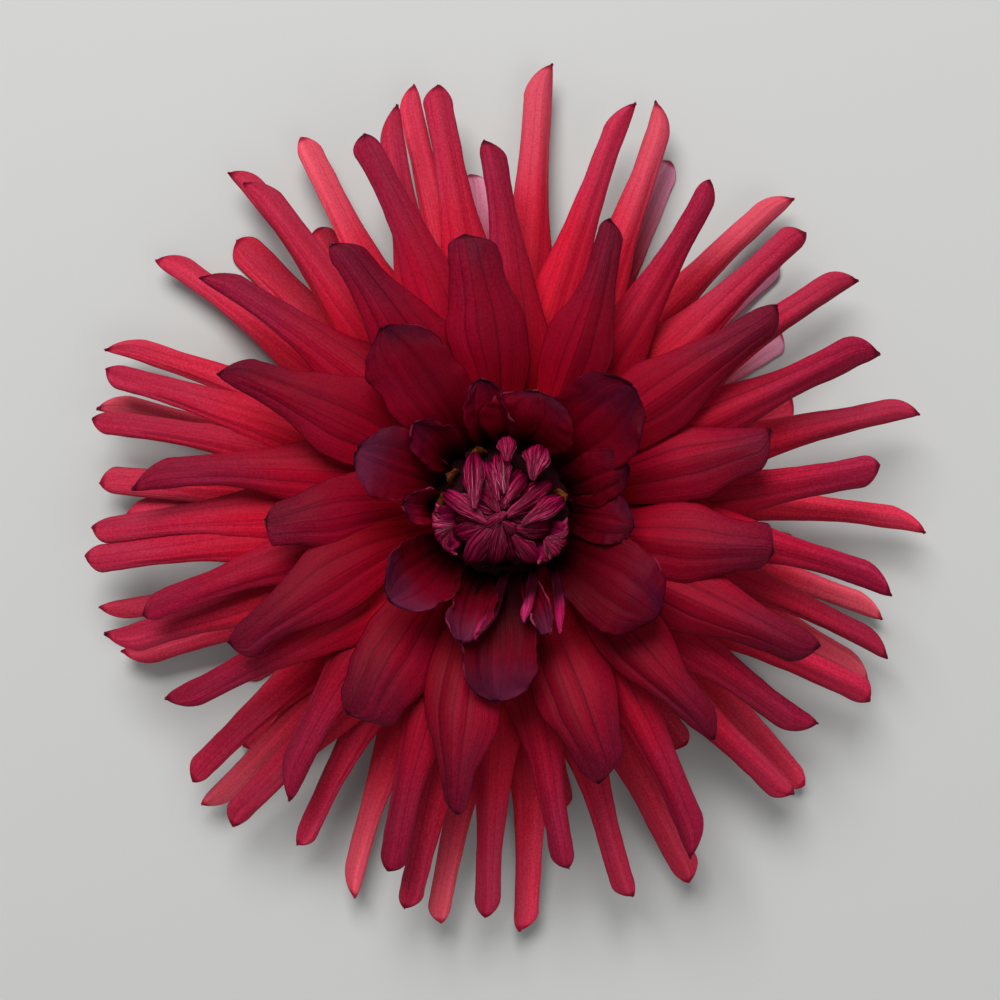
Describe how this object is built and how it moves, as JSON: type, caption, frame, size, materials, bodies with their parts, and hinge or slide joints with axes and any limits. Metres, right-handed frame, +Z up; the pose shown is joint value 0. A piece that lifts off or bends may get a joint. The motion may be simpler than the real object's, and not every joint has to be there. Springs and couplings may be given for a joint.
{
  "type": "dahlia flower",
  "caption": "Open semi-cactus dahlia bloom in crimson, with rolled petals round a darker cupped middle and a short cut stem under its green calyx.",
  "frame": {"origin": "middle of the bloom's outline, on the surface that it lies on", "axes": "+Z up out of the bloom's face along its axis, +Y the way its top points in the picture"},
  "size_m": [0.1628, 0.171, 0.046],
  "materials": {
    "green_leaf": "matt green plant tissue",
    "crimson_petal": "soft satin petal, velvety",
    "maroon_petal": "dark velvety petal",
    "ochre_scale": "dry matt scale",
    "magenta_floret": "satin petal with a silvery bloom"
  },
  "bodies": {
    "root": {"green_calyx": "green_leaf", "open_petals": "crimson_petal", "young_petals": "maroon_petal", "ochre_scales": "ochre_scale", "heart": "magenta_floret"}
  },
  "joints": []
}
